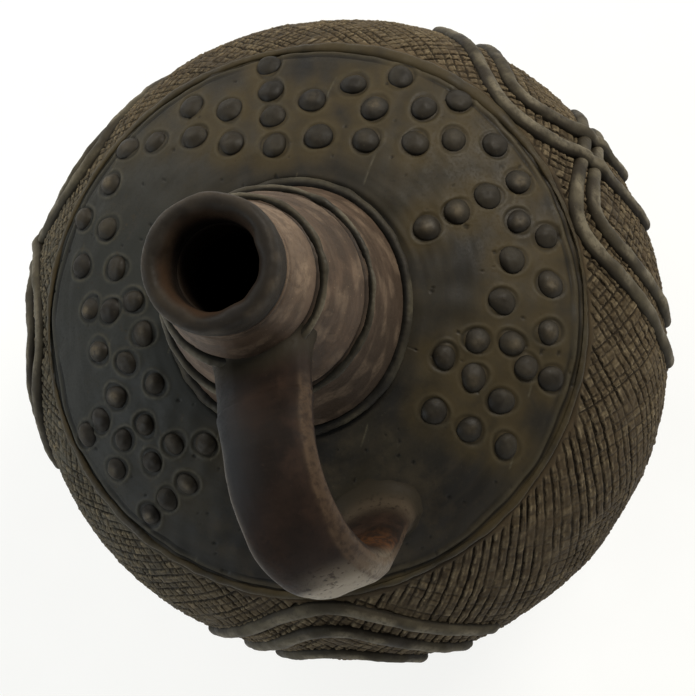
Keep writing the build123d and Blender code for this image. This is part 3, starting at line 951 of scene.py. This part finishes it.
def end_piece(name, row, way_sign, gap, onto, reach, heel):
    """One end of the handle, from a row of the strap's frames, curving out over the body by a reach at each
    turn of the section. Heel is how much paler its middle is, where rubbing smoothed it, 0 to 1."""
    start, strap_marks = strap_skin(np.array([row, row + way_sign]))
    way = unit((start[1] - start[0]).mean(axis=0))
    start = start[0]
    corner = reach_surface(start, way, gap)
    centre = corner.mean(axis=0)
    edge = onto(corner + unit(corner - centre) * reach[:, None])
    share = np.linspace(0, 1, END_ROWS)[:, None]
    part = share[..., None]
    outer = (1 - part) ** 2 * start + 2 * part * (1 - part) * corner + part**2 * edge
    normal = unit(outer - (1 - part) * strap_middle[row] - part * centre)
    smear = (0.10 * lumps(outer, 9, 162) + 0.03 * lumps(outer, 2.6, 163, 12)) * ease(share * 5)
    smear = smear * ease((1 - share) * 6) - END_DIP * (1 - ease(share * 9))
    rows = [outer + normal * smear[..., None]]
    for back in np.linspace(1, 0, END_INSIDE_ROWS):
        under = (1 - back) * start + back * edge
        heart = (1 - back) * strap_middle[row] + back * centre
        rows.append((heart + (under - heart) * (0.72 - 0.25 * back))[None])
    marks = {
        # the strap's wear and painted highlight, and its painted bluish reflection, fading out over the smear
        "wear_and_highlight": (1 - ease(share * 3)) * strap_marks["wear_and_highlight"][0],
        "painted_cool_light": (1 - share) * strap_marks["painted_cool_light"][0],
        "spread": ease((share - 0.25) / 0.4) + np.zeros(STRAP_COLUMNS),
        "heel": heel * bell(share - 0.42, 0.17) + np.zeros(STRAP_COLUMNS),
    }
    unmarked = np.zeros((END_INSIDE_ROWS, STRAP_COLUMNS))
    marks = {mark: np.concatenate([values, unmarked]) for mark, values in marks.items()}
    return wrapped(name, np.concatenate(rows), marks)


side, lift = np.cos(STRAP_TURN), np.sin(STRAP_TURN)
neck_reach = 3.5 + 4.5 * np.clip(side, 0, 1) - 2.0 * np.clip(lift, 0, 1)
foot_reach = 6.5 - 2.0 * np.clip(side, 0, 1) + 4.0 * np.clip(-lift, 0, 1) - 1.0 * np.clip(lift, 0, 1)
handle_neck_pad = end_piece("handle_neck_pad", NECK_END_ROW, -1, neck_gap, onto_neck, neck_reach, 0.0)
handle_foot_pad = end_piece("handle_foot_pad", FOOT_END_ROW, 1, shoulder_gap, onto_shoulder, foot_reach, 0.9)


# ---- clay, as procedural materials ----
class Nodes:
    """A shader's node tree, emptied and built up node by node."""

    def __init__(self, tree):
        self.tree = tree
        self.tree.nodes.clear()

    def add(self, kind, inputs=None, **settings):
        """A node, with inputs that are values or other nodes' outputs."""
        node = self.tree.nodes.new(kind)
        for setting, value in settings.items():
            setattr(node, setting, value)
        for key, value in (inputs or {}).items():
            if isinstance(value, bpy.types.NodeSocket):
                self.tree.links.new(value, node.inputs[key])
            else:
                node.inputs[key].default_value = value
        return node


class Surface(Nodes):
    """A procedural material, laid out in the piece's own place."""

    def __init__(self, name):
        self.material = bpy.data.materials.new(name)
        self.material.use_nodes = True
        super().__init__(self.material.node_tree)
        self.place = self.add("ShaderNodeTexCoord").outputs["Object"]

    def noise(self, size, detail=3.0, rough=0.55, swirl=0.0, seed=0.0):
        """Noise with features of a size in millimetres."""
        where = self.add("ShaderNodeMapping", {"Vector": self.place, "Location": (seed, 0.3 * seed, -seed)})
        inputs = {"Vector": where.outputs[0], "Scale": 1 / (size * MM), "Detail": detail, "Roughness": rough}
        inputs["Distortion"] = swirl
        return self.add("ShaderNodeTexNoise", inputs).outputs["Fac"]

    def ringed(self, size, detail=2.0):
        """Noise drawn out round the jug's axis, as wiping and turning leave."""
        parts = self.add("ShaderNodeSeparateXYZ", {0: self.place}).outputs
        square = [self.math("MULTIPLY", parts[i], parts[i]) for i in (0, 1)]
        level = self.math("ADD", self.math("SQRT", self.math("ADD", *square)), parts[2])
        slow = [self.math("MULTIPLY", parts[i], 0.05) for i in (0, 1)]
        where = self.add("ShaderNodeCombineXYZ", {0: slow[0], 1: slow[1], 2: level}).outputs[0]
        inputs = {"Vector": where, "Scale": 1 / (size * MM), "Detail": detail, "Roughness": 0.6}
        return self.add("ShaderNodeTexNoise", inputs).outputs["Fac"]

    def math(self, what, a, b=0.0):
        """A sum, product or other result of one or two values."""
        return self.add("ShaderNodeMath", {0: a, 1: b}, operation=what).outputs[0]

    def between(self, value, low, high, to_low=0.0, to_high=1.0):
        """A value eased from one range to another."""
        inputs = {"Value": value, "From Min": low, "From Max": high, "To Min": to_low, "To Max": to_high}
        return self.add("ShaderNodeMapRange", inputs, interpolation_type="SMOOTHSTEP").outputs[0]

    def mark(self, name):
        """A mark on the mesh's points, or 0 where it has none of that name."""
        return self.add("ShaderNodeAttribute", attribute_name=name).outputs["Fac"]

    def mix(self, share, a, b):
        """One colour giving way to another as a share goes from 0 to 1."""
        a, b = ((*colour, 1) if isinstance(colour, tuple) else colour for colour in (a, b))
        return self.add("ShaderNodeMix", {0: share, 6: a, 7: b}, data_type="RGBA").outputs[2]

    def bump(self, height, distance, strength=1.0, normal=None):
        """A normal tilted by a height, whose full range stands for a distance in millimetres."""
        inputs = {"Height": height, "Distance": distance * MM, "Strength": strength}
        if normal is not None:
            inputs["Normal"] = normal
        return self.add("ShaderNodeBump", inputs).outputs[0]

    def finish(self, inputs):
        """The material, ended by a shader with these inputs."""
        shader = self.add("ShaderNodeBsdfPrincipled", inputs)
        self.add("ShaderNodeOutputMaterial", {"Surface": shader.outputs[0]})
        return self.material


def incised(clay, strength):
    """How deep the comb's strokes cut at each point, drawn finer than the mesh, 0 to 1."""
    ragged = clay.noise(1.6, 2.0, seed=9.3)
    cuts = []
    for way in ("a", "b"):
        off = clay.math("ADD", clay.mark("across_" + way), clay.between(ragged, 0.3, 0.7, -0.24, 0.24))
        line = clay.between(clay.math("ABSOLUTE", off), 0.12, 0.62, 1.0, 0.0)
        cuts.append(clay.math("MULTIPLY", line, clay.mark("depth_" + way)))
    deepest = clay.math("MAXIMUM", *cuts)
    return clay.math("MINIMUM", clay.math("MULTIPLY", deepest, strength), 1.0)


# colours are linear
OLIVE_HALO = (0.050, 0.036, 0.014)
SOOTED_INSIDE = (0.075, 0.080, 0.070)


def smoked(
    name, body, pale, dark, worn_and_highlit, rough, gloss, grain,
    ringed=0.35, speckle=0.25, layers=(), cut=0.0, halo=OLIVE_HALO,
):
    """One finish of the jug's clay. Rough is (least, most), grain in millimetres, and each layer is a mark,
    the colour it brings, and the fine noise that it leaves clear. A cut above 0 draws the comb's strokes."""
    clay = Surface(name)
    clouds = clay.noise(46, 3.0, 0.6, swirl=0.4)
    patches = clay.noise(13, 4.0, 0.6, seed=3.1)
    fine = clay.noise(2.2, 4.0, 0.65, seed=7.7)
    dust = clay.noise(0.9, 3.0, 0.6, seed=5.2)
    wiped = clay.ringed(2.6)
    tone = clay.mix(clay.between(clouds, 0.36, 0.66), dark, body)
    tone = clay.mix(clay.between(patches, 0.46, 0.74, 0.0, 0.75), tone, pale)
    tone = clay.mix(clay.between(wiped, 0.40, 0.70, 0.0, ringed), tone, pale)
    tone = clay.mix(clay.between(fine, 0.52, 0.72, 0.0, 0.45), tone, dark)
    tone = clay.mix(clay.between(dust, 0.60, 0.74, 0.0, speckle), tone, worn_and_highlit)
    haloed = clay.math("MULTIPLY", clay.mark("halo"), clay.between(patches, 0.3, 0.6, 0.35, 0.9))
    tone = clay.mix(haloed, tone, halo)
    for mark, colour, clear in layers:
        cover = clay.between(fine, clear, clear + 0.12, 0.15, 0.94)
        tone = clay.mix(clay.math("MULTIPLY", clay.mark(mark), cover), tone, colour)
    # paler where worn, and a painted highlight on crests, ridges and lit faces
    wear_and_highlight = clay.math("MULTIPLY", clay.mark("wear_and_highlight"), clay.between(fine, 0.30, 0.62, 0.25, 1.0))
    tone = clay.mix(wear_and_highlight, tone, worn_and_highlit)
    # painted shade: the groove mark darkens grooves, creases, pits, crevices and the bore, where shade falls
    painted_recess_shade = tuple(0.30 * c for c in dark)
    tone = clay.mix(clay.math("MULTIPLY", clay.mark("groove"), 0.88), tone, painted_recess_shade)
    roughness = clay.between(patches, 0.3, 0.75, *rough)
    roughness = clay.math("ADD", roughness, clay.between(dust, 0.45, 0.7, 0.0, 0.16))
    normal = clay.bump(fine, grain)
    normal = clay.bump(dust, 0.5 * grain, 0.7, normal)
    normal = clay.bump(wiped, 0.5 * grain, 0.6, normal)
    if cut:
        # painted shade in the comb's strokes, darker where they cut deeper
        strokes_in = incised(clay, 1.1)
        tone = clay.mix(clay.math("MULTIPLY", strokes_in, 0.86), tone, painted_recess_shade)
        normal = clay.bump(clay.math("MULTIPLY", strokes_in, -1.0), cut, 1.0, normal)
    tone = clay.mix(clay.mark("inside"), tone, SOOTED_INSIDE)
    inputs = {"Base Color": tone, "Roughness": roughness, "Normal": normal, "Specular IOR Level": gloss}
    return clay.finish(inputs)


BURNISHED = smoked(
    "burnished_clay", (0.025, 0.021, 0.013), (0.038, 0.030, 0.018), (0.012, 0.011, 0.009),
    (0.085, 0.075, 0.048), (0.46, 0.62), 0.16, 0.04, 0.25, 0.15,
    # painted cool light on the side towards the fill light
    layers=(("painted_cool_light", (0.020, 0.021, 0.0175), 0.30),),
)
HATCHED = smoked(
    "hatched_clay", (0.070, 0.051, 0.025), (0.102, 0.074, 0.043), (0.027, 0.019, 0.010),
    (0.200, 0.158, 0.094), (0.62, 0.78), 0.10, 0.12, cut=0.35,
    # painted cool light on the side towards the fill light, and painted shade on the lower-right side
    layers=(("painted_cool_light", (0.054, 0.051, 0.037), 0.34), ("painted_side_shade", (0.040, 0.028, 0.015), 0.30)),
)
NECK = smoked(
    "neck_clay", (0.066, 0.044, 0.029), (0.098, 0.065, 0.043), (0.043, 0.029, 0.019),
    (0.27, 0.195, 0.130), (0.48, 0.66), 0.16, 0.08, 0.36, 0.34,
    layers=(("shaded", (0.040, 0.028, 0.019), 0.30),),
)
RIB = smoked(
    "rib_clay", (0.040, 0.033, 0.020), (0.060, 0.050, 0.031), (0.018, 0.016, 0.011),
    (0.160, 0.140, 0.098), (0.46, 0.62), 0.18, 0.05, 0.3,
)
HANDLE = smoked(
    "handle_clay", (0.022, 0.0135, 0.0095), (0.036, 0.021, 0.014), (0.010, 0.0075, 0.006),
    (0.066, 0.043, 0.026), (0.48, 0.62), 0.08, 0.04, 0.1, 0.15,
    layers=(
        # painted bluish reflection
        ("painted_cool_light", (0.0195, 0.021, 0.0225), 0.20),
        ("stain", (0.064, 0.027, 0.011), 0.42),
        # the bend's cream, partly pale crazed clay and partly painted highlight
        ("bend", (0.150, 0.124, 0.090), 0.34),
        # painted highlight on the bend's outermost face
        ("painted_bend_highlight", (0.26, 0.225, 0.17), 0.34),
        ("spread", (0.025, 0.0205, 0.0135), 0.10),
        ("heel", (0.060, 0.046, 0.031), 0.34),
        # painted rim highlight
        ("rim", (0.19, 0.16, 0.125), 0.30),
    ),
)
PELLET = smoked(
    "pellet_clay", (0.023, 0.0185, 0.0115), (0.031, 0.026, 0.017), (0.012, 0.010, 0.007),
    (0.10, 0.08, 0.05), (0.48, 0.62), 0.18, 0.05, 0.0,
)
COIL = smoked(
    "coil_clay", (0.056, 0.047, 0.029), (0.086, 0.074, 0.047), (0.024, 0.019, 0.012),
    (0.145, 0.125, 0.085), (0.56, 0.72), 0.14, 0.10, 0.0,
)
LIP = smoked(
    "lip_clay", (0.022, 0.017, 0.011), (0.032, 0.024, 0.015), (0.012, 0.010, 0.008),
    (0.070, 0.054, 0.036), (0.50, 0.66), 0.16, 0.05, 0.2, halo=(0.034, 0.018, 0.009),
)
FOOT = smoked(
    "foot_clay", (0.045, 0.034, 0.020), (0.070, 0.054, 0.034), (0.022, 0.017, 0.011),
    (0.12, 0.10, 0.07), (0.65, 0.80), 0.15, 0.15,
)


# ---- each piece gets its clay and its place in the frame ----
def dress(material, pieces):
    """Finish pieces, each named by the CAD node that it stands for: material and body."""
    for node, piece in pieces.items():
        piece.data.materials.append(material)
        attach(piece, "root")
        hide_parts(node)


dress(HATCHED, {"belly_wall": belly_wall, "lower_bowl": lower_bowl})
dress(BURNISHED, {"shoulder_dome": shoulder_dome, "shoulder_band": shoulder_band})
# the lowest rib is as dark as the shoulder that it lies on
dress(BURNISHED, {"neck_rib_lower": ribs.pop("neck_rib_lower")})
dress(RIB, ribs)
dress(NECK, neck_pieces)
dress(LIP, {"lip_ring": lip_ring})
dress(PELLET, pellet_groups)
dress(COIL, coils)
dress(HANDLE, {"handle_strap": handle_strap})
dress(HANDLE, {"handle_neck_pad": handle_neck_pad, "handle_foot_pad": handle_foot_pad})
base_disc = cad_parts["base_disc"]
base_disc.data.materials.clear()
base_disc.data.materials.append(FOOT)

# ---- floor, light and camera ----
FLOOR_HALF = 40000.0
floor_corners = [(x * FLOOR_HALF, y * FLOOR_HALF, 0) for x, y in ((-1, -1), (1, -1), (1, 1), (-1, 1))]
floor = make_mesh("floor", floor_corners, [(0, 1, 2, 3)])
paper = Surface("floor_paper")
floor.data.materials.append(paper.finish({
    "Base Color": paper.mix(paper.noise(30, 3.0), (0.18, 0.18, 0.175), (0.22, 0.22, 0.215)),
    "Roughness": 0.9,
    "Emission Color": (1.0, 1.0, 0.975, 1),
    "Emission Strength": 0.82,
}))

# the studio is pale near the floor and darker overhead
world = bpy.data.worlds.new("studio")
bpy.context.scene.world = world
world.use_nodes = True
sky = Nodes(world.node_tree)
where = sky.add("ShaderNodeTexCoord").outputs["Generated"]
ramp = sky.add("ShaderNodeValToRGB", {0: sky.add("ShaderNodeSeparateXYZ", {0: where}).outputs[2]})
ramp.color_ramp.interpolation = "EASE"
ramp.color_ramp.elements[0].position = 0.05
ramp.color_ramp.elements[0].color = (0.50, 0.50, 0.50, 1)
ramp.color_ramp.elements[1].position = 0.85
ramp.color_ramp.elements[1].color = (0.10, 0.105, 0.12, 1)
glow = sky.add("ShaderNodeBackground", {0: ramp.outputs[0]})
sky.add("ShaderNodeOutputWorld", {0: glow.outputs[0]})


def softbox(name, azimuth, elevation, distance, size, power, colour):
    """A square area light aimed at the jug's shoulder. Angles in degrees, lengths in metres."""
    aim = Vector((0, 0, 0.16))
    a, e = np.radians(azimuth), np.radians(elevation)
    way = Vector((np.cos(e) * np.cos(a), np.cos(e) * np.sin(a), np.sin(e)))
    light = bpy.data.lights.new(name, "AREA")
    light.shape = "SQUARE"
    light.size = size
    light.energy = power
    light.color = colour
    lamp = bpy.data.objects.new(name, light)
    lamp.location = aim + way * distance
    lamp.rotation_euler = (-way).to_track_quat("-Z", "Y").to_euler()
    bpy.context.scene.collection.objects.link(lamp)


softbox("light_key", 118, 37, 1.5, 0.6, 20, (1.0, 0.94, 0.84))
softbox("light_back", 196, 28, 1.5, 0.9, 8, (1.0, 0.97, 0.92))
softbox("light_fill", -92, 30, 1.6, 1.0, 9, (0.88, 0.95, 1.0))
softbox("light_front", 8, 22, 1.6, 0.7, 1.5, (1.0, 0.95, 0.88))

# the camera looks down at a point inside the neck's foot: lengths in metres, angles in degrees
CAMERA_AIM = Vector((0.0194, 0.0124, 0.190))
CAMERA_FAR = 0.4954
CAMERA_AZIMUTH = 40.0
CAMERA_TILT = 12.71
CAMERA_ROLL = -62.1
camera_data = bpy.data.cameras.new("camera")
camera_data.lens = 77.6
camera_data.sensor_width = 36.0
camera = bpy.data.objects.new("camera", camera_data)
facing = Matrix.Identity(4)
for degrees, axis in ((CAMERA_AZIMUTH + 90, "Z"), (CAMERA_TILT, "X"), (CAMERA_ROLL, "Z")):
    facing = facing @ Matrix.Rotation(np.radians(degrees), 4, axis)
camera.matrix_world = Matrix.Translation(CAMERA_AIM) @ facing @ Matrix.Translation((0, 0, CAMERA_FAR))
bpy.context.scene.collection.objects.link(camera)
bpy.context.scene.camera = camera
bpy.context.scene.view_settings.view_transform = "Standard"
